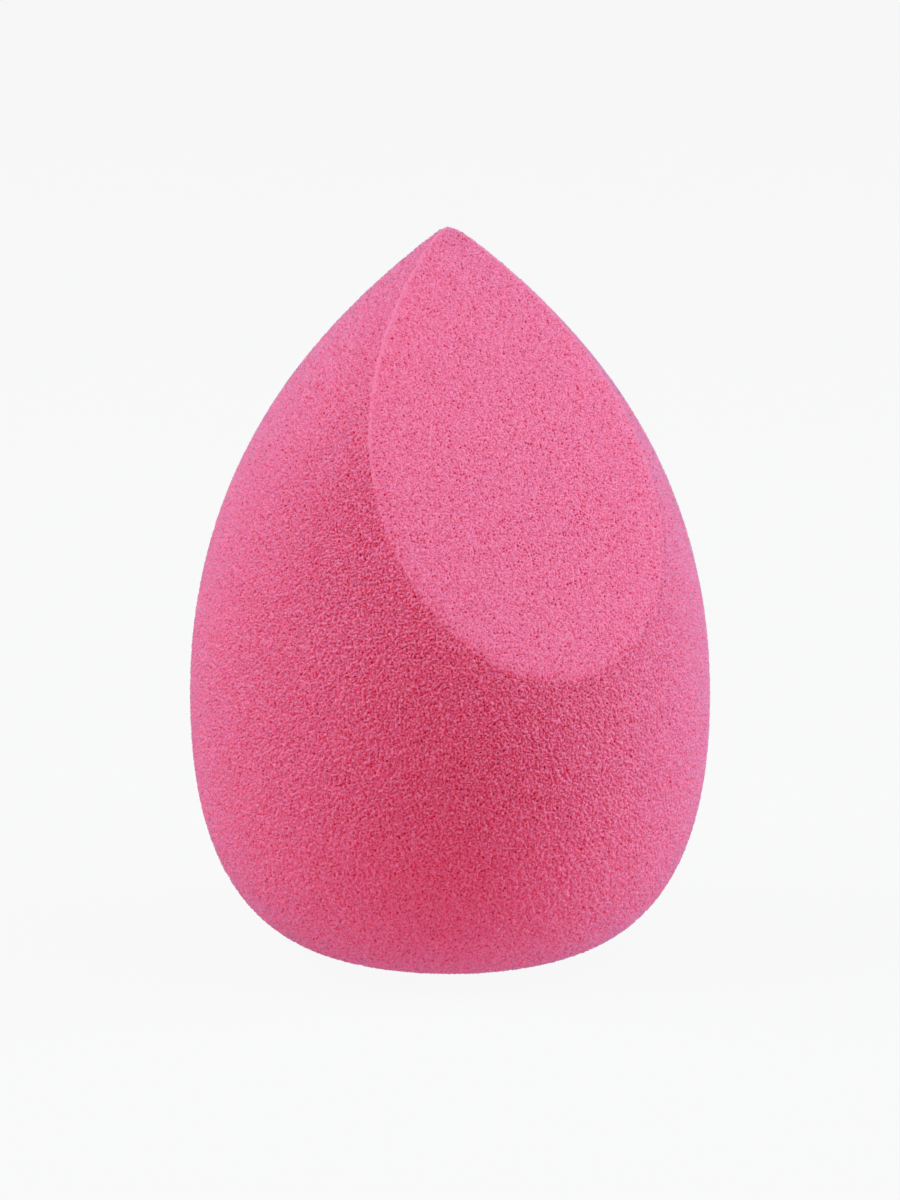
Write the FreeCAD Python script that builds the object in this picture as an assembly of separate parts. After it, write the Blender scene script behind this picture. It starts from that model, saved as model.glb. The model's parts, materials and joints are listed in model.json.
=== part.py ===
# Teardrop makeup sponge with one slanted flat cut: a single piece of soft open-cell foam.
# Millimetres, +Z up. The origin is the middle of the foot, and the slanted cut faces -Y.
import FreeCAD, Part
import math
import os

# Driving sizes of the moulded teardrop, up to the point where its sides would meet
POINT_HEIGHT = 60.5
POINT_SLOPE_DEG = 37.5
WIDEST_DIAMETER = 42.6
WIDEST_HEIGHT = 21.3
FOOT_DIAMETER = 12.0

# Driving sizes of the slanted cut, which leans back from the upright and takes the point off
CUT_LEAN_DEG = 32.5
CUT_BELOW_POINT = 0.9
CUT_EDGE_ROUNDING = 0.45
CUT_OVERRUN = 5.0

# Fullness of the side, as shares of the span that each stretch of the outline crosses
FOOT_RUN_SHARE = 0.77
BELLY_DROP_SHARE = 0.56
SHOULDER_RISE_SHARE = 0.52
POINT_RUN_SHARE = 0.46

# The edge is rounded by no more than this share of what the cut takes off the point
WIDEST_ROUNDING_SHARE = 0.6

WIDEST_RADIUS = WIDEST_DIAMETER / 2
FOOT_RADIUS = FOOT_DIAMETER / 2
UPWARDS = FreeCAD.Vector(0, 0, 1)
FOOT_CENTRE = FreeCAD.Vector(0, 0, 0)


def section_point(radius, height):
    """A place on the section, which is drawn in front of the axis."""
    return FreeCAD.Vector(0, -radius, height)


def smooth_stretch(*poles):
    """A curved stretch of the section with these control points."""
    stretch = Part.BezierCurve()
    stretch.setPoles(list(poles))
    return stretch.toShape()


def half_section():
    """Foot, belly, shoulder and axis of the teardrop, closed as one wire."""
    point = section_point(0, POINT_HEIGHT)
    foot_rim = section_point(FOOT_RADIUS, 0)
    widest = section_point(WIDEST_RADIUS, WIDEST_HEIGHT)

    foot_run = FOOT_RUN_SHARE * (WIDEST_RADIUS - FOOT_RADIUS)
    belly_drop = BELLY_DROP_SHARE * WIDEST_HEIGHT
    shoulder_rise = SHOULDER_RISE_SHARE * (POINT_HEIGHT - WIDEST_HEIGHT)
    point_run = POINT_RUN_SHARE * WIDEST_RADIUS
    point_drop = point_run * math.tan(math.radians(POINT_SLOPE_DEG))

    foot = Part.LineSegment(FOOT_CENTRE, foot_rim).toShape()
    belly = smooth_stretch(
        foot_rim,
        foot_rim + section_point(foot_run, 0),
        widest - section_point(0, belly_drop),
        widest,
    )
    shoulder = smooth_stretch(
        widest,
        widest + section_point(0, shoulder_rise),
        point + section_point(point_run, -point_drop),
        point,
    )
    axis = Part.LineSegment(point, FOOT_CENTRE).toShape()
    return Part.Wire([foot, belly, shoulder, axis])


def moulded_teardrop():
    """The sponge as it leaves its mould, before the cut."""
    return Part.Face(half_section()).revolve(FOOT_CENTRE, UPWARDS, 360)


def cut_away():
    """The foam on the outer side of the slanted cut, as one large block."""
    lean = math.radians(CUT_LEAN_DEG)
    outwards = FreeCAD.Vector(0, -math.cos(lean), math.sin(lean))
    on_axis = FreeCAD.Vector(0, 0, POINT_HEIGHT - CUT_BELOW_POINT)
    reach = POINT_HEIGHT + WIDEST_DIAMETER + CUT_OVERRUN
    block = Part.makeBox(2 * reach, 2 * reach, reach, FreeCAD.Vector(-reach, -reach, 0))
    block.Placement = FreeCAD.Placement(on_axis, FreeCAD.Rotation(UPWARDS, outwards))
    return block


def foam_body():
    """The finished sponge, with a soft edge all round its slanted face."""
    body = moulded_teardrop().cut(cut_away()).Solids[0]
    flat_faces = [face for face in body.Faces if isinstance(face.Surface, Part.Plane)]
    slanted_face = max(flat_faces, key=lambda face: face.CenterOfMass.z)
    rounding = min(CUT_EDGE_ROUNDING, WIDEST_ROUNDING_SHARE * CUT_BELOW_POINT)
    return body.makeFillet(rounding, slanted_face.Edges)


if __name__ == "__main__":
    os.makedirs("parts", exist_ok=True)
    foam_body().exportStep("parts/foam_body.step")
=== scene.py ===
# Teardrop makeup sponge of pink open-cell foam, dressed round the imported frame.
import json
import math

import bmesh
import bpy
import numpy as np
from bpy.props import FloatProperty, FloatVectorProperty, IntProperty, PointerProperty
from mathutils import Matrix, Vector


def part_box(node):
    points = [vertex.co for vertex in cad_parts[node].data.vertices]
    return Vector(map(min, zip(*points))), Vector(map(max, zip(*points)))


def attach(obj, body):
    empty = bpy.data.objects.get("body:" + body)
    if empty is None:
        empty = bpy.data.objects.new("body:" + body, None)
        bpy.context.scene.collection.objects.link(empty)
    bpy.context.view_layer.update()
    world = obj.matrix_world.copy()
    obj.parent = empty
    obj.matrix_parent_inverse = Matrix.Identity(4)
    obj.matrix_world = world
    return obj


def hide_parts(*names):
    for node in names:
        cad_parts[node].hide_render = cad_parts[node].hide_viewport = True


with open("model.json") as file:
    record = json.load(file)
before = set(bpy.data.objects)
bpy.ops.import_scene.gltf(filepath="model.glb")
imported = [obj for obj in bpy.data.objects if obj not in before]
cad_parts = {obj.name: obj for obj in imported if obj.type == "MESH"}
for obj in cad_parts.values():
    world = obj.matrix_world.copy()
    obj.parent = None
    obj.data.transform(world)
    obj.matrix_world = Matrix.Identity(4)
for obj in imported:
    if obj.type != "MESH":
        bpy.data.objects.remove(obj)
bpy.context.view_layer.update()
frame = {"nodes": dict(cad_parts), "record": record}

bl_info = {
    "name": "Makeup Sponge",
    "version": (1, 0, 0),
    "blender": (4, 5, 0),
    "location": "3D View > Sidebar > Sponge",
    "description": "Builds a teardrop makeup sponge of open-cell foam and the studio it stands in",
    "category": "Object",
}

MM = 0.001
FOAM_NODE = "foam_body"
BODY = "root"

# The frame's box round the foam, and its slanted face
FOAM_LOW, FOAM_HIGH = (Vector(corner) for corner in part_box(FOAM_NODE))
FOAM_MIDDLE = Vector((0, 0, (FOAM_LOW.z + FOAM_HIGH.z) / 2))
SLANTED_FACE = next(m for m in frame["record"]["mounts"] if m["name"] == "slanted_face")
SLICE_POINT = Vector(SLANTED_FACE["pos_m"])
SLICE_NORMAL = Vector(SLANTED_FACE["axis"])
ACROSS_SLICE = Vector((1, 0, 0))
UP_SLICE = SLICE_NORMAL.cross(ACROSS_SLICE)

# Names of what the foam's mesh carries for its material and for a baked map
REST_PLACE = "rest_place"
SLICED = "sliced"
SLICE_EDGE = "slice_edge"
BAKE_MAP = "OFBake"

# The foam tree's lengths, by the name of the input, each with the setting that fills it
FOAM_SIZES = {
    "Slice Width": "slice_width",
    "Slice Length": "slice_length",
    "Slice Crown": "slice_crown",
    "Soft Below": "soft_below",
    "Sharp Above": "sharp_above",
    "Cell Size": "cell",
    "Sliced Pore Radius": "sliced_pore",
    "Moulded Pore Radius": "moulded_pore",
    "Pore Depth": "pore_depth",
    "Grain Width": "grain",
    "Sliced Grain Depth": "sliced_grain_depth",
    "Moulded Grain Depth": "moulded_grain_depth",
}

# Points of the frame's shape that lie closer than this are one
MERGE_DISTANCE = 0.001 * MM

# Depth under the slanted face's plane up to which the net is on the face, and from which it is off it
ON_SLICE = 0.04 * MM
OFF_SLICE = 0.12 * MM

# How often a value is spread to its neighbours on the net: to round the face's soft border, to ease the
# whole net, to find the face's edge and to fade its crown out
ROUNDING_STEPS = 60
EASING_STEPS = 2
EDGE_STEPS = 8
CROWN_STEPS = 60

# The edge is where the spread mark is neither 0 nor 1. The mark times what it lacks to 1 is a quarter in
# the middle of the edge, which begins and is full at these values
EDGE_BEGINS = 0.07
EDGE_FULL = 0.24

# The bubbles: how far their places are bent, as a share of a cell, how rare the large ones are, and the
# smallest one's share of the largest
CELL_BEND = 0.5
RARITY = 3.0
SMALLEST_BUBBLE = 0.4

# The noise that makes the lowest hollow and the highest crest of the grain
HOLLOW_NOISE = 0.3
CREST_NOISE = 0.7

# Share of the relief that is left on the slanted face's edge. With fewer bubbles and hollows there, the
# edge is also paler, a painted highlight line
EDGE_RELIEF = 0.45

# Roughness of the foam's skin and deep in an open bubble
SKIN_ROUGHNESS = 0.82
BUBBLE_ROUGHNESS = 0.97

# Places of the colour sockets on a Mix node
FIRST_COLOUR = 6
SECOND_COLOUR = 7
MIXED_COLOUR = 2

# The baked map: its gores round the foam, the gap between them, a gore's height against half the way
# round the foam's widest part, how much of a face's mark puts it on the slanted face, and the margin
GORES = 4
MAP_GAP = 1.5 * MM
GORE_STRETCH = 1.2
MOSTLY_SLICED = 0.5
MAP_MARGIN = 0.01

# The floor: its sides, the strength of its own even light and that light's share of its look, and the share
# of the near glow's reach within which that glow is at its full
FLOOR_SIDES = 64
FLOOR_STRENGTH = 1.015
FLOOR_EVENNESS = 0.95
NEAR_FULL = 1 / 3

# Width of the sensor along the frame's longer side, its height, in millimetres
SENSOR = 36.0

# How far the lamps stand from what the camera looks at, in metres. Each lamp has its turn from the camera
# and its rise in degrees, its size in metres, its power in watts and the setting of its colour
LAMP_DISTANCE = 0.7
LAMPS = (
    ("left_softbox", -83, 31, 0.55, 2.7, "left_lamp"),
    ("right_softbox", 90, 15, 0.45, 3.0, "right_lamp"),
    ("upper_left_softbox", -60, 60, 0.45, 0.66, "left_lamp"),
    ("upper_right_softbox", 60, 60, 0.45, 1.1, "right_lamp"),
)


def linear(hex_colour):
    """An sRGB hex colour as linear red, green and blue."""
    shares = [int(hex_colour[i : i + 2], 16) / 255 for i in (1, 3, 5)]
    return tuple(s / 12.92 if s <= 0.04045 else ((s + 0.055) / 1.055) ** 2.4 for s in shares)


class FoamSettings(bpy.types.PropertyGroup):
    """Sizes and colours of the foam body."""

    fineness: IntProperty(
        name="Fineness",
        description="How often the sphere that is laid over the shape is divided",
        default=9,
        min=4,
        max=9,
    )
    slice_width: FloatProperty(
        name="Slice Width",
        description="Width of the slanted face",
        default=24.1 * MM,
        unit="LENGTH",
        precision=6,
    )
    slice_length: FloatProperty(
        name="Slice Length",
        description="Length of the slanted face, from the tip down",
        default=39 * MM,
        unit="LENGTH",
        precision=6,
    )
    slice_crown: FloatProperty(
        name="Slice Crown",
        description="How far the slanted face swells out in its middle",
        default=0.6 * MM,
        unit="LENGTH",
        precision=6,
    )
    soft_below: FloatProperty(
        name="Soft Below",
        description="Height up to which the slanted face's border is soft",
        default=33 * MM,
        unit="LENGTH",
        precision=6,
    )
    sharp_above: FloatProperty(
        name="Sharp Above",
        description="Height from which the slanted face's border is sharp",
        default=47 * MM,
        unit="LENGTH",
        precision=6,
    )
    cell: FloatProperty(
        name="Cell Size",
        description="Average spacing of the bubbles in the foam",
        default=0.25 * MM,
        unit="LENGTH",
        precision=6,
    )
    sliced_pore: FloatProperty(
        name="Sliced Pore Radius",
        description="Radius of the bubbles that the knife opened on the slanted face",
        default=0.165 * MM,
        unit="LENGTH",
        precision=6,
    )
    moulded_pore: FloatProperty(
        name="Moulded Pore Radius",
        description="Radius of the bubbles that are open on the moulded side",
        default=0.175 * MM,
        unit="LENGTH",
        precision=6,
    )
    pore_depth: FloatProperty(
        name="Pore Depth",
        description="How deep an open bubble goes in",
        default=0.11 * MM,
        unit="LENGTH",
        precision=6,
    )
    grain: FloatProperty(
        name="Grain Width",
        description="Width of the fine bumps between the pores",
        default=0.14 * MM,
        unit="LENGTH",
        precision=6,
    )
    sliced_grain_depth: FloatProperty(
        name="Sliced Grain Depth",
        description="Height of the fine bumps on the slanted face",
        default=0.06 * MM,
        unit="LENGTH",
        precision=6,
    )
    moulded_grain_depth: FloatProperty(
        name="Moulded Grain Depth",
        description="Height of the fine bumps on the moulded side",
        default=0.24 * MM,
        unit="LENGTH",
        precision=6,
    )
    light_depth: FloatProperty(
        name="Light Depth",
        description="How far red light spreads inside the foam",
        default=40 * MM,
        unit="LENGTH",
        precision=6,
    )
    pink: FloatVectorProperty(
        name="Foam Pink",
        description="Colour of the dyed foam",
        default=linear("#e177ab"),
        subtype="COLOR",
        min=0,
        max=1,
    )
    # Painted shade: a darker red put deep in the open bubbles, where little light reaches
    painted_pore_shade: FloatVectorProperty(
        name="Pore Red",
        description="Colour deep in an open bubble",
        default=linear("#cc0c3a"),
        subtype="COLOR",
        min=0,
        max=1,
    )
    # Painted highlight: the crests are paler, as if they caught the side lamps, and the hollows between
    # them keep the darker pink
    painted_crest_highlight: FloatVectorProperty(
        name="Crest Pink",
        description="Colour of the highlit crests between the pores",
        default=linear("#f6b5e2"),
        subtype="COLOR",
        min=0,
        max=1,
    )
    sheen_tint: FloatVectorProperty(
        name="Sheen Tint",
        description="Colour of the soft shine where the foam is seen edge on",
        default=linear("#98c8ff"),
        subtype="COLOR",
        min=0,
        max=1,
    )


class StudioSettings(bpy.types.PropertyGroup):
    """Sizes and colours of the floor, the lights and the camera."""

    camera_turn: FloatProperty(
        name="Camera Turn",
        description="How far round the sponge the camera stands, from straight in front",
        default=math.radians(-26),
        subtype="ANGLE",
    )
    camera_rise: FloatProperty(
        name="Camera Rise",
        description="How far above the horizon the camera stands",
        default=math.radians(11),
        subtype="ANGLE",
    )
    camera_distance: FloatProperty(
        name="Camera Distance",
        description="Distance from the aim point to the camera",
        default=0.5,
        unit="LENGTH",
    )
    aim_height: FloatProperty(
        name="Aim Height",
        description="Height of the point that the camera looks at",
        default=29.35 * MM,
        unit="LENGTH",
        precision=6,
    )
    view_height: FloatProperty(
        name="View Height",
        description="Height that fills the picture at the aim point",
        default=97.9 * MM,
        unit="LENGTH",
        precision=6,
    )
    floor_radius: FloatProperty(
        name="Floor Radius",
        description="Radius of the pale floor",
        default=6.0,
        unit="LENGTH",
    )
    floor_white: FloatVectorProperty(
        name="Floor White",
        description="Colour of the floor's own even light, and of the backdrop",
        default=linear("#f8fafa"),
        subtype="COLOR",
        min=0,
        max=1,
    )
    board_white: FloatVectorProperty(
        name="Board White",
        description="Colour of the floor's matt board under the lamps",
        default=linear("#e7e7e7"),
        subtype="COLOR",
        min=0,
        max=1,
    )
    floor_glow: FloatVectorProperty(
        name="Floor Glow",
        description="Light that the floor throws back at the sponge from further out",
        default=linear("#f88590"),
        subtype="COLOR",
        min=0,
        max=1,
    )
    near_glow: FloatVectorProperty(
        name="Near Glow",
        description="Light that the floor throws back up close to the foot",
        default=linear("#f4abb8"),
        subtype="COLOR",
        min=0,
        max=1,
    )
    near_reach: FloatProperty(
        name="Near Reach",
        description="How far from the middle of the foot the near glow fades out",
        default=50 * MM,
        unit="LENGTH",
        precision=6,
    )
    fill: FloatVectorProperty(
        name="Fill",
        description="Faint light from all round",
        default=linear("#b20d32"),
        subtype="COLOR",
        min=0,
        max=1,
    )
    left_lamp: FloatVectorProperty(
        name="Left Lamp",
        description="Colour of the lamps on the left",
        default=linear("#fbffff"),
        subtype="COLOR",
        min=0,
        max=1,
    )
    right_lamp: FloatVectorProperty(
        name="Right Lamp",
        description="Colour of the lamps on the right",
        default=linear("#e2ffff"),
        subtype="COLOR",
        min=0,
        max=1,
    )


def add_node(tree, kind, inputs=None, **settings):
    """Adds a node with its own settings. An input is a socket to link from or a plain value."""
    node = tree.nodes.new(kind)
    for name, value in settings.items():
        setattr(node, name, value)
    for name, value in (inputs or {}).items():
        if isinstance(value, bpy.types.NodeSocket):
            tree.links.new(value, node.inputs[name])
        else:
            node.inputs[name].default_value = value
    return node


def foam_pattern(tree, place, sliced, edge, sizes):
    """Open bubbles and crests, each from 0 to 1, and how deep they go in, for a tree of either kind.
    The sizes are sockets or plain lengths."""
    # Round bubbles, open where they are large. The foam's finest cells are too fine to show, so the
    # bubbles and the grain are both drawn as coarse as they need to be seen
    cells = add_node(tree, "ShaderNodeMath", {0: 1.0, 1: sizes["Cell Size"]}, operation="DIVIDE")
    wobble = add_node(
        tree,
        "ShaderNodeTexNoise",
        {"Vector": place, "Scale": cells.outputs[0], "Detail": 1.0},
    )
    centred = add_node(
        tree,
        "ShaderNodeVectorMath",
        {0: wobble.outputs["Color"], 1: (0.5, 0.5, 0.5)},
        operation="SUBTRACT",
    )
    bend = add_node(
        tree, "ShaderNodeMath", {0: sizes["Cell Size"], 1: CELL_BEND}, operation="MULTIPLY"
    )
    bent = add_node(
        tree,
        "ShaderNodeVectorMath",
        {0: centred.outputs[0], 1: bend.outputs[0], 2: place},
        operation="MULTIPLY_ADD",
    )
    bubbles = add_node(
        tree,
        "ShaderNodeTexVoronoi",
        {"Vector": bent.outputs[0], "Scale": cells.outputs[0], "Randomness": 1.0},
        feature="F1",
    )
    widest = add_node(
        tree,
        "ShaderNodeMapRange",
        {
            "Value": sliced,
            "To Min": sizes["Moulded Pore Radius"],
            "To Max": sizes["Sliced Pore Radius"],
        },
    )
    largest = add_node(
        tree,
        "ShaderNodeMath",
        {0: widest.outputs[0], 1: sizes["Cell Size"]},
        operation="DIVIDE",
    )
    chance = add_node(tree, "ShaderNodeSeparateXYZ", {0: bubbles.outputs["Color"]})
    few = add_node(tree, "ShaderNodeMath", {0: chance.outputs[0], 1: RARITY}, operation="POWER")
    share = add_node(
        tree, "ShaderNodeMapRange", {"Value": few.outputs[0], "To Min": SMALLEST_BUBBLE}
    )
    radius = add_node(
        tree,
        "ShaderNodeMath",
        {0: largest.outputs[0], 1: share.outputs[0]},
        operation="MULTIPLY",
    )
    bubble = add_node(
        tree,
        "ShaderNodeMapRange",
        {
            "Value": bubbles.outputs["Distance"],
            "From Max": radius.outputs[0],
            "To Min": 1.0,
            "To Max": 0.0,
        },
        interpolation_type="SMOOTHSTEP",
    )

    # Fine grain between the bubbles
    bumps_across = add_node(
        tree, "ShaderNodeMath", {0: 1.0, 1: sizes["Grain Width"]}, operation="DIVIDE"
    )
    bumps = add_node(
        tree,
        "ShaderNodeTexNoise",
        {"Vector": place, "Scale": bumps_across.outputs[0], "Detail": 1.0, "Roughness": 0.5},
    )
    grain = add_node(
        tree,
        "ShaderNodeMapRange",
        {"Value": bumps.outputs[0], "From Min": HOLLOW_NOISE, "From Max": CREST_NOISE},
        interpolation_type="SMOOTHSTEP",
    )

    # Both fade on the slanted face's edge, which smooths the relief there and paints a paler highlight line
    # along it
    edge_smoothing_and_highlight = add_node(
        tree, "ShaderNodeMapRange", {"Value": edge, "To Min": 1.0, "To Max": EDGE_RELIEF}
    )
    pore = add_node(
        tree,
        "ShaderNodeMath",
        {0: bubble.outputs[0], 1: edge_smoothing_and_highlight.outputs[0]},
        operation="MULTIPLY",
    )
    low = add_node(tree, "ShaderNodeMath", {0: 1.0, 1: grain.outputs[0]}, operation="SUBTRACT")
    hollow = add_node(
        tree,
        "ShaderNodeMath",
        {0: low.outputs[0], 1: edge_smoothing_and_highlight.outputs[0]},
        operation="MULTIPLY",
    )
    crest = add_node(tree, "ShaderNodeMath", {0: 1.0, 1: hollow.outputs[0]}, operation="SUBTRACT")
    grain_depth = add_node(
        tree,
        "ShaderNodeMapRange",
        {
            "Value": sliced,
            "To Min": sizes["Moulded Grain Depth"],
            "To Max": sizes["Sliced Grain Depth"],
        },
    )
    hollow_depth = add_node(
        tree,
        "ShaderNodeMath",
        {0: hollow.outputs[0], 1: grain_depth.outputs[0]},
        operation="MULTIPLY",
    )
    depth = add_node(
        tree,
        "ShaderNodeMath",
        {0: pore.outputs[0], 1: sizes["Pore Depth"], 2: hollow_depth.outputs[0]},
        operation="MULTIPLY_ADD",
    )
    return pore.outputs[0], crest.outputs[0], depth.outputs[0]


def foam_material(foam):
    """Dyed polyurethane foam, moulded and sliced."""
    # To the eye it is matt and speckled, with painted shade that makes its open bubbles dark red and a
    # painted highlight that makes its crests paler, with a cool sheen where it is seen edge on, and red
    # light that goes deep into it
    material = bpy.data.materials.new("dyed_polyurethane_foam")
    material.use_nodes = True
    tree = material.node_tree
    tree.nodes.clear()
    place = add_node(tree, "ShaderNodeAttribute", attribute_name=REST_PLACE)
    sliced = add_node(tree, "ShaderNodeAttribute", attribute_name=SLICED)
    edge = add_node(tree, "ShaderNodeAttribute", attribute_name=SLICE_EDGE)
    pore, crest, depth = foam_pattern(
        tree,
        place.outputs["Vector"],
        sliced.outputs["Fac"],
        edge.outputs["Fac"],
        {name: getattr(foam, setting) for name, setting in FOAM_SIZES.items()},
    )
    # Painted highlight: the crests get a paler pink, as if they caught the side lamps
    lit = add_node(
        tree,
        "ShaderNodeMix",
        {0: crest, FIRST_COLOUR: (*foam.pink, 1), SECOND_COLOUR: (*foam.painted_crest_highlight, 1)},
        data_type="RGBA",
    )
    # Painted shade: the open bubbles get a darker red, as if little light reached into them
    colour = add_node(
        tree,
        "ShaderNodeMix",
        {0: pore, FIRST_COLOUR: lit.outputs[MIXED_COLOUR], SECOND_COLOUR: (*foam.painted_pore_shade, 1)},
        data_type="RGBA",
    )
    # The relief once more as a faint bump, for what is finer than the net
    relief = add_node(tree, "ShaderNodeMath", {0: depth, 1: -1.0}, operation="MULTIPLY")
    bump = add_node(
        tree, "ShaderNodeBump", {"Height": relief.outputs[0], "Strength": 0.3, "Distance": 1.0}
    )
    dull = add_node(
        tree,
        "ShaderNodeMapRange",
        {"Value": pore, "To Min": SKIN_ROUGHNESS, "To Max": BUBBLE_ROUGHNESS},
    )
    shader = add_node(
        tree,
        "ShaderNodeBsdfPrincipled",
        {
            "Base Color": colour.outputs[MIXED_COLOUR],
            "Roughness": dull.outputs[0],
            "Normal": bump.outputs[0],
            "Specular IOR Level": 0.2,
            "Subsurface Weight": 0.45,
            "Subsurface Radius": (1.0, 0.0025, 0.004),
            "Subsurface Scale": foam.light_depth,
            "Sheen Weight": 1.0,
            "Sheen Roughness": 0.26,
            "Sheen Tint": (*foam.sheen_tint, 1),
        },
    )
    add_node(tree, "ShaderNodeOutputMaterial", {"Surface": shader.outputs[0]})
    return material


def lay_net(tree, shape, fineness):
    """A fine round net, laid on the shape from inside."""
    net = add_node(
        tree, "GeometryNodeMeshIcoSphere", {"Radius": 1.0, "Subdivisions": fineness}
    )
    outwards = add_node(tree, "GeometryNodeInputPosition")
    inside = add_node(tree, "FunctionNodeInputVector", vector=FOAM_MIDDLE)
    hit = add_node(
        tree,
        "GeometryNodeRaycast",
        {
            "Target Geometry": shape,
            "Source Position": inside.outputs[0],
            "Ray Direction": outwards.outputs[0],
            "Ray Length": (FOAM_HIGH - FOAM_LOW).length,
        },
    )
    laid = add_node(
        tree,
        "GeometryNodeSetPosition",
        {"Geometry": net.outputs["Mesh"], "Position": hit.outputs["Hit Position"]},
    )
    return laid.outputs[0]


def slice_edge(tree, sliced, sharpness):
    """The narrow edge round the slanted face, from 0 to 1, where that face's border is sharp."""
    smeared = add_node(
        tree,
        "GeometryNodeBlurAttribute",
        {"Value": sliced, "Iterations": EDGE_STEPS},
        data_type="FLOAT",
    )
    lacking = add_node(
        tree, "ShaderNodeMath", {0: 1.0, 1: smeared.outputs[0]}, operation="SUBTRACT"
    )
    border = add_node(
        tree,
        "ShaderNodeMath",
        {0: smeared.outputs[0], 1: lacking.outputs[0]},
        operation="MULTIPLY",
    )
    rim = add_node(
        tree,
        "ShaderNodeMapRange",
        {"Value": border.outputs[0], "From Min": EDGE_BEGINS, "From Max": EDGE_FULL},
        interpolation_type="SMOOTHSTEP",
    )
    edge = add_node(
        tree, "ShaderNodeMath", {0: rim.outputs[0], 1: sharpness}, operation="MULTIPLY"
    )
    return edge.outputs[0]


def slice_swell(tree, from_slice, sliced, given):
    """How far the slanted face swells out: nothing at its border, most in its middle."""
    across = add_node(
        tree, "ShaderNodeVectorMath", {0: from_slice, 1: ACROSS_SLICE}, operation="DOT_PRODUCT"
    )
    upwards = add_node(
        tree, "ShaderNodeVectorMath", {0: from_slice, 1: UP_SLICE}, operation="DOT_PRODUCT"
    )
    spot = add_node(
        tree,
        "ShaderNodeCombineXYZ",
        {"X": across.outputs["Value"], "Y": upwards.outputs["Value"]},
    )
    span = add_node(
        tree,
        "ShaderNodeCombineXYZ",
        {"X": given["Slice Width"], "Y": given["Slice Length"], "Z": 1.0},
    )
    share = add_node(
        tree,
        "ShaderNodeVectorMath",
        {0: spot.outputs[0], 1: span.outputs[0]},
        operation="DIVIDE",
    )
    from_middle = add_node(
        tree,
        "ShaderNodeVectorMath",
        {0: share.outputs[0], 1: share.outputs[0]},
        operation="DOT_PRODUCT",
    )
    # The border is half a span from the middle, and the square of a half is a quarter
    dome = add_node(
        tree,
        "ShaderNodeMapRange",
        {
            "Value": from_middle.outputs["Value"],
            "From Max": 0.25,
            "To Min": given["Slice Crown"],
            "To Max": 0.0,
        },
    )
    # The spread mark is about a half on the border, so the crown fades out there
    spread = add_node(
        tree,
        "GeometryNodeBlurAttribute",
        {"Value": sliced, "Iterations": CROWN_STEPS},
        data_type="FLOAT",
    )
    inner = add_node(
        tree,
        "ShaderNodeMapRange",
        {"Value": spread.outputs[0], "From Min": 0.5},
        interpolation_type="SMOOTHSTEP",
    )
    swell = add_node(
        tree,
        "ShaderNodeMath",
        {0: dome.outputs[0], 1: inner.outputs[0]},
        operation="MULTIPLY",
    )
    return swell.outputs[0]


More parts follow.
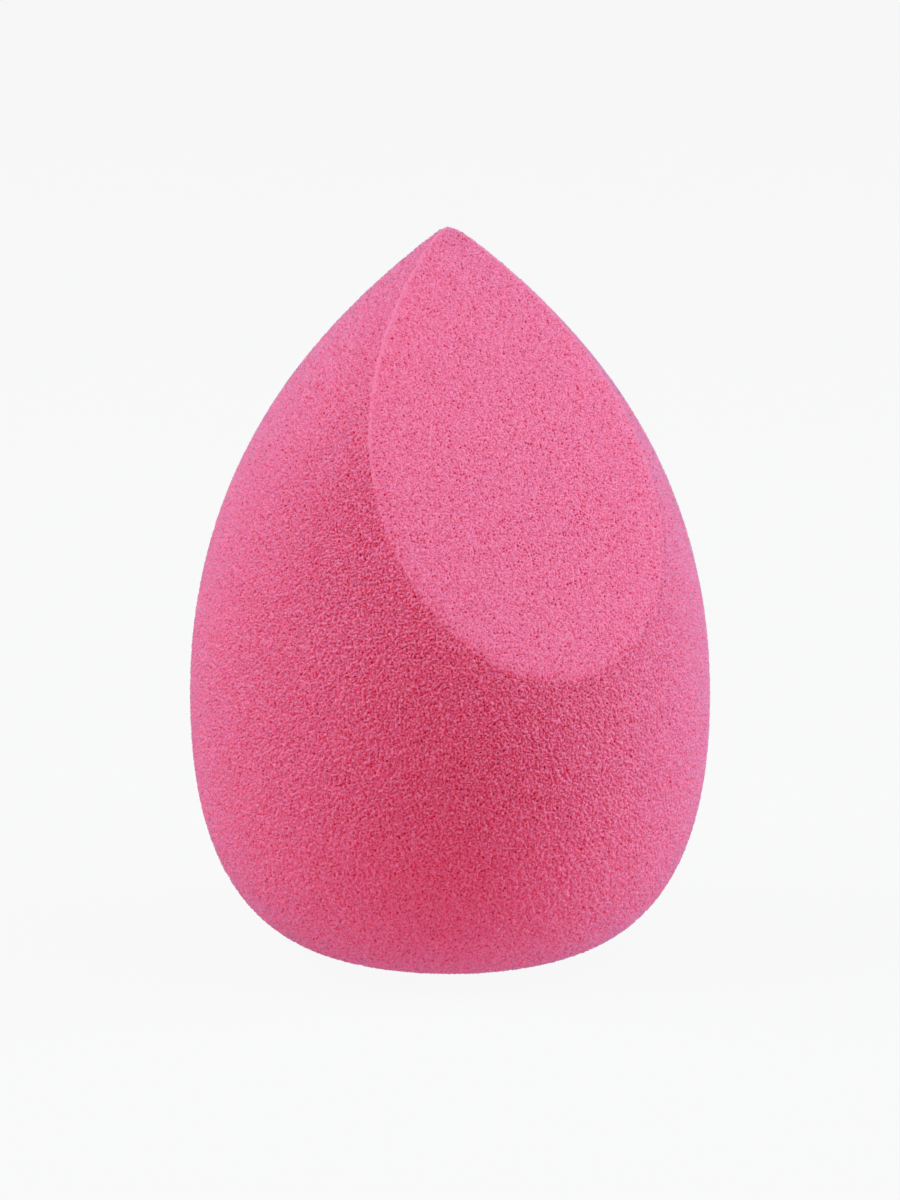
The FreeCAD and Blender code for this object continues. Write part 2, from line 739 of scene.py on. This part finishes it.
def foam_tree():
    """Lays a fine round net over the shape from inside, then opens the bubbles in it."""
    tree = bpy.data.node_groups.new("foam_body", "GeometryNodeTree")
    tree.is_modifier = True
    kinds = {"Shape": "NodeSocketGeometry", "Fineness": "NodeSocketInt"}
    kinds.update({name: "NodeSocketFloat" for name in FOAM_SIZES})
    kinds["Foam"] = "NodeSocketMaterial"
    sockets = {
        name: tree.interface.new_socket(name, in_out="INPUT", socket_type=kind)
        for name, kind in kinds.items()
    }
    tree.interface.new_socket("Foam Body", in_out="OUTPUT", socket_type="NodeSocketGeometry")
    given = add_node(tree, "NodeGroupInput").outputs
    laid = lay_net(tree, given["Shape"], given["Fineness"])

    # Marks the points of the net that lie on the slanted face
    place = add_node(tree, "GeometryNodeInputPosition").outputs[0]
    from_slice = add_node(
        tree, "ShaderNodeVectorMath", {0: place, 1: SLICE_POINT}, operation="SUBTRACT"
    ).outputs[0]
    height = add_node(
        tree, "ShaderNodeVectorMath", {0: from_slice, 1: SLICE_NORMAL}, operation="DOT_PRODUCT"
    )
    on_slice = add_node(
        tree,
        "ShaderNodeMapRange",
        {"Value": height.outputs["Value"], "From Min": -OFF_SLICE, "From Max": -ON_SLICE},
        interpolation_type="SMOOTHSTEP",
    )
    marked = add_node(
        tree,
        "GeometryNodeStoreNamedAttribute",
        {"Geometry": laid, "Name": SLICED, "Value": on_slice.outputs[0]},
        data_type="FLOAT",
        domain="POINT",
    )
    sliced = add_node(
        tree, "GeometryNodeInputNamedAttribute", {"Name": SLICED}, data_type="FLOAT"
    ).outputs[0]

    # Rounds the border of the slanted face low down and keeps it sharp towards the tip
    upright = add_node(tree, "ShaderNodeSeparateXYZ", {0: place})
    sharpness = add_node(
        tree,
        "ShaderNodeMapRange",
        {
            "Value": upright.outputs["Z"],
            "From Min": given["Soft Below"],
            "From Max": given["Sharp Above"],
        },
        interpolation_type="SMOOTHSTEP",
    ).outputs[0]
    softness = add_node(tree, "ShaderNodeMath", {0: 1.0, 1: sharpness}, operation="SUBTRACT")
    rounded = add_node(
        tree,
        "GeometryNodeBlurAttribute",
        {"Value": place, "Iterations": ROUNDING_STEPS, "Weight": softness.outputs[0]},
        data_type="FLOAT_VECTOR",
    )
    eased = add_node(
        tree,
        "GeometryNodeBlurAttribute",
        {"Value": rounded.outputs[0], "Iterations": EASING_STEPS},
        data_type="FLOAT_VECTOR",
    )
    smooth = add_node(
        tree,
        "GeometryNodeSetPosition",
        {"Geometry": marked.outputs[0], "Position": eased.outputs[0]},
    )

    # Keeps what the material reads: where each point lies before the bubbles open, and the edge
    kept = add_node(
        tree,
        "GeometryNodeStoreNamedAttribute",
        {"Geometry": smooth.outputs[0], "Name": REST_PLACE, "Value": place},
        data_type="FLOAT_VECTOR",
        domain="POINT",
    )
    edge = slice_edge(tree, sliced, sharpness)
    edged = add_node(
        tree,
        "GeometryNodeStoreNamedAttribute",
        {"Geometry": kept.outputs[0], "Name": SLICE_EDGE, "Value": edge},
        data_type="FLOAT",
        domain="POINT",
    )

    # Presses the relief in and swells the slanted face out
    _, _, depth = foam_pattern(tree, place, sliced, edge, given)
    inwards = add_node(tree, "ShaderNodeMath", {0: depth, 1: -1.0}, operation="MULTIPLY")
    normal = add_node(tree, "GeometryNodeInputNormal")
    pressed = add_node(
        tree,
        "ShaderNodeVectorMath",
        {0: normal.outputs[0], "Scale": inwards.outputs[0]},
        operation="SCALE",
    )
    swell = slice_swell(tree, from_slice, sliced, given)
    moved = add_node(
        tree,
        "ShaderNodeVectorMath",
        {0: SLICE_NORMAL, 1: swell, 2: pressed.outputs[0]},
        operation="MULTIPLY_ADD",
    )
    opened = add_node(
        tree,
        "GeometryNodeSetPosition",
        {"Geometry": edged.outputs[0], "Offset": moved.outputs[0]},
    )
    shaded = add_node(tree, "GeometryNodeSetShadeSmooth", {"Geometry": opened.outputs[0]})
    real = add_node(tree, "GeometryNodeRealizeInstances", {"Geometry": shaded.outputs[0]})
    dyed = add_node(
        tree,
        "GeometryNodeSetMaterial",
        {"Geometry": real.outputs[0], "Material": given["Foam"]},
    )
    add_node(tree, "NodeGroupOutput", {"Foam Body": dyed.outputs[0]})
    return tree, sockets


def merged_copy(node):
    """A copy of a frame node's mesh with its loose triangles joined."""
    mesh = node.data.copy()
    work = bmesh.new()
    work.from_mesh(mesh)
    bmesh.ops.remove_doubles(work, verts=work.verts, dist=MERGE_DISTANCE)
    work.to_mesh(mesh)
    work.free()
    return mesh


def lay_bake_map(mesh):
    """Lays a map for baking: upright gores side by side, and the slanted face lying under them."""
    count = len(mesh.vertices)
    place = np.empty(3 * count, np.float32)
    mesh.attributes[REST_PLACE].data.foreach_get("vector", place)
    place = place.reshape(-1, 3)
    sliced = np.empty(count, np.float32)
    mesh.attributes[SLICED].data.foreach_get("value", sliced)
    corners = np.empty(len(mesh.loops), np.int32)
    mesh.loops.foreach_get("vertex_index", corners)
    faces = corners.reshape(-1, 3)

    widest = FOAM_HIGH.x
    gore_turn = 2 * math.pi / GORES
    gore_width = widest * gore_turn + MAP_GAP
    gore_height = widest * math.pi * GORE_STRETCH
    middle = place[faces].mean(axis=1)
    gore = np.floor((np.arctan2(middle[:, 1], middle[:, 0]) + math.pi) / gore_turn)
    gore = np.clip(gore, 0, GORES - 1)
    around = np.arctan2(place[:, 1], place[:, 0])[faces]
    out = np.hypot(place[:, 0], place[:, 1])
    turn = around - ((gore + 0.5) * gore_turn - math.pi)[:, None]
    turn = (turn + math.pi) % (2 * math.pi) - math.pi
    rise = np.arctan2(place[:, 2] - FOAM_MIDDLE.z, out)
    across = (gore[:, None] + 0.5) * gore_width + out[faces] * turn
    up = (rise / math.pi + 0.5)[faces] * gore_height

    flat = sliced[faces].mean(axis=1) > MOSTLY_SLICED
    on_slice = place[faces[flat]]
    from_point = on_slice - np.array(SLICE_POINT)
    across[flat] = GORES / 2 * gore_width + from_point @ np.array(UP_SLICE)
    up[flat] = on_slice[:, :, 0] - widest

    layout = np.stack([across, up], axis=2).reshape(-1, 2)
    low = layout.min(axis=0)
    high = layout.max(axis=0)
    layout = MAP_MARGIN + (1 - 2 * MAP_MARGIN) * (layout - low) / (high - low)
    layer = mesh.uv_layers.new(name=BAKE_MAP)
    layer.data.foreach_set("uv", layout.astype(np.float32).ravel())


def build_foam(foam):
    """Runs the tree over the frame's shape and keeps the result as a plain mesh."""
    piece = bpy.data.objects.new("sponge_foam", merged_copy(frame["nodes"][FOAM_NODE]))
    bpy.context.scene.collection.objects.link(piece)
    tree, sockets = foam_tree()
    modifier = piece.modifiers.new("Foam", "NODES")
    modifier.node_group = tree
    modifier[sockets["Fineness"].identifier] = foam.fineness
    modifier[sockets["Foam"].identifier] = foam_material(foam)
    for name, setting in FOAM_SIZES.items():
        modifier[sockets[name].identifier] = getattr(foam, setting)
    depsgraph = bpy.context.evaluated_depsgraph_get()
    mesh = bpy.data.meshes.new_from_object(
        piece.evaluated_get(depsgraph), preserve_all_data_layers=True, depsgraph=depsgraph
    )
    piece.modifiers.clear()
    piece.data = mesh
    mesh.name = "sponge_foam"
    lay_bake_map(mesh)
    return piece


class SPONGE_OT_foam_body(bpy.types.Operator):
    """Build the foam body of the sponge"""

    bl_idname = "sponge.foam_body"
    bl_label = "Foam Body"

    def execute(self, context):
        piece = build_foam(context.scene.sponge_foam)
        if not piece.data.polygons:
            raise RuntimeError("the foam body came out empty")
        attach(piece, BODY)
        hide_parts(FOAM_NODE)
        return {"FINISHED"}


def towards(turn, rise):
    """The direction that stands turn round from the front and rise above the horizon."""
    return Vector(
        (
            math.sin(turn) * math.cos(rise),
            -math.cos(turn) * math.cos(rise),
            math.sin(rise),
        )
    )


def add_softbox(name, aim, turn_deg, rise_deg, size, power, colour):
    """A large soft lamp that looks at the sponge."""
    lamp = bpy.data.lights.new(name, "AREA")
    lamp.size = size
    lamp.energy = power
    lamp.color = colour
    holder = bpy.data.objects.new(name, lamp)
    back = towards(math.radians(turn_deg), math.radians(rise_deg))
    holder.location = aim + LAMP_DISTANCE * back
    holder.rotation_euler = back.to_track_quat("Z", "Y").to_euler()
    bpy.context.scene.collection.objects.link(holder)


def build_floor(studio):
    """A wide pale floor that the sponge stands on."""
    mesh = bpy.data.meshes.new("pale_floor")
    work = bmesh.new()
    bmesh.ops.create_circle(
        work, cap_ends=True, segments=FLOOR_SIDES, radius=studio.floor_radius
    )
    work.to_mesh(mesh)
    work.free()

    # Matt white board, lit evenly: to the eye one pale ground that hardly takes a shadow
    material = bpy.data.materials.new("matt_white_board")
    material.use_nodes = True
    tree = material.node_tree
    tree.nodes.clear()
    matt = add_node(tree, "ShaderNodeBsdfDiffuse", {"Color": (*studio.board_white, 1)})
    even = add_node(
        tree,
        "ShaderNodeEmission",
        {"Color": (*studio.floor_white, 1), "Strength": FLOOR_STRENGTH},
    )
    shown = add_node(
        tree,
        "ShaderNodeMixShader",
        {0: FLOOR_EVENNESS, 1: matt.outputs[0], 2: even.outputs[0]},
    )

    # What it throws back at the sponge is paler close to the foot
    spot = add_node(tree, "ShaderNodeTexCoord")
    away = add_node(tree, "ShaderNodeVectorMath", {0: spot.outputs["Object"]}, operation="LENGTH")
    far = add_node(
        tree,
        "ShaderNodeMapRange",
        {
            "Value": away.outputs["Value"],
            "From Min": studio.near_reach * NEAR_FULL,
            "From Max": studio.near_reach,
        },
        interpolation_type="SMOOTHSTEP",
    )
    bounce = add_node(
        tree,
        "ShaderNodeMix",
        {
            0: far.outputs[0],
            FIRST_COLOUR: (*studio.near_glow, 1),
            SECOND_COLOUR: (*studio.floor_glow, 1),
        },
        data_type="RGBA",
    )
    glow = add_node(
        tree, "ShaderNodeEmission", {"Color": bounce.outputs[MIXED_COLOUR], "Strength": 1.0}
    )
    sight = add_node(tree, "ShaderNodeLightPath")
    both = add_node(
        tree,
        "ShaderNodeMixShader",
        {0: sight.outputs["Is Camera Ray"], 1: glow.outputs[0], 2: shown.outputs[0]},
    )
    add_node(tree, "ShaderNodeOutputMaterial", {"Surface": both.outputs[0]})
    mesh.materials.append(material)
    floor = bpy.data.objects.new("pale_floor", mesh)
    bpy.context.scene.collection.objects.link(floor)


def build_world(studio):
    """A pale backdrop to look at, and a faint red fill light on the sponge from all round."""
    world = bpy.data.worlds.new("studio")
    bpy.context.scene.world = world
    world.use_nodes = True
    tree = world.node_tree
    tree.nodes.clear()
    pale = add_node(
        tree, "ShaderNodeBackground", {"Color": (*studio.floor_white, 1), "Strength": 1.0}
    )
    fill = add_node(tree, "ShaderNodeBackground", {"Color": (*studio.fill, 1), "Strength": 1.0})
    sight = add_node(tree, "ShaderNodeLightPath")
    both = add_node(
        tree,
        "ShaderNodeMixShader",
        {0: sight.outputs["Is Camera Ray"], 1: fill.outputs[0], 2: pale.outputs[0]},
    )
    add_node(tree, "ShaderNodeOutputWorld", {"Surface": both.outputs[0]})


def build_camera(studio):
    """The camera at the photograph's angle and framing."""
    lens = bpy.data.cameras.new("studio_camera")
    lens.sensor_fit = "AUTO"
    lens.sensor_width = SENSOR
    lens.lens = SENSOR * studio.camera_distance / studio.view_height
    holder = bpy.data.objects.new("studio_camera", lens)
    back = towards(studio.camera_turn, studio.camera_rise)
    holder.location = Vector((0, 0, studio.aim_height)) + studio.camera_distance * back
    holder.rotation_euler = back.to_track_quat("Z", "Y").to_euler()
    bpy.context.scene.collection.objects.link(holder)
    bpy.context.scene.camera = holder


class SPONGE_OT_studio(bpy.types.Operator):
    """Build the floor, the lights and the camera"""

    bl_idname = "sponge.studio"
    bl_label = "Studio"

    def execute(self, context):
        studio = context.scene.sponge_studio
        build_floor(studio)
        build_world(studio)
        build_camera(studio)
        aim = Vector((0, 0, studio.aim_height))
        front = math.degrees(studio.camera_turn)
        for name, turn, rise, size, power, colour in LAMPS:
            add_softbox(name, aim, front + turn, rise, size, power, getattr(studio, colour))
        context.scene.view_settings.view_transform = "Standard"
        return {"FINISHED"}


class SPONGE_PT_parts(bpy.types.Panel):
    """Lists what builds the sponge"""

    bl_idname = "SPONGE_PT_parts"
    bl_label = "Makeup Sponge"
    bl_space_type = "VIEW_3D"
    bl_region_type = "UI"
    bl_category = "Sponge"

    def draw(self, context):
        layout = self.layout
        for settings, operator in (
            (context.scene.sponge_foam, SPONGE_OT_foam_body),
            (context.scene.sponge_studio, SPONGE_OT_studio),
        ):
            box = layout.box()
            for name in settings.__annotations__:
                box.prop(settings, name)
            box.operator(operator.bl_idname)


CLASSES = (
    FoamSettings,
    StudioSettings,
    SPONGE_OT_foam_body,
    SPONGE_OT_studio,
    SPONGE_PT_parts,
)


def register():
    for each in CLASSES:
        bpy.utils.register_class(each)
    bpy.types.Scene.sponge_foam = PointerProperty(type=FoamSettings)
    bpy.types.Scene.sponge_studio = PointerProperty(type=StudioSettings)


def unregister():
    del bpy.types.Scene.sponge_studio
    del bpy.types.Scene.sponge_foam
    for each in reversed(CLASSES):
        bpy.utils.unregister_class(each)


def main():
    register()
    bpy.ops.sponge.foam_body()
    bpy.ops.sponge.studio()


if __name__ == "__main__":
    main()
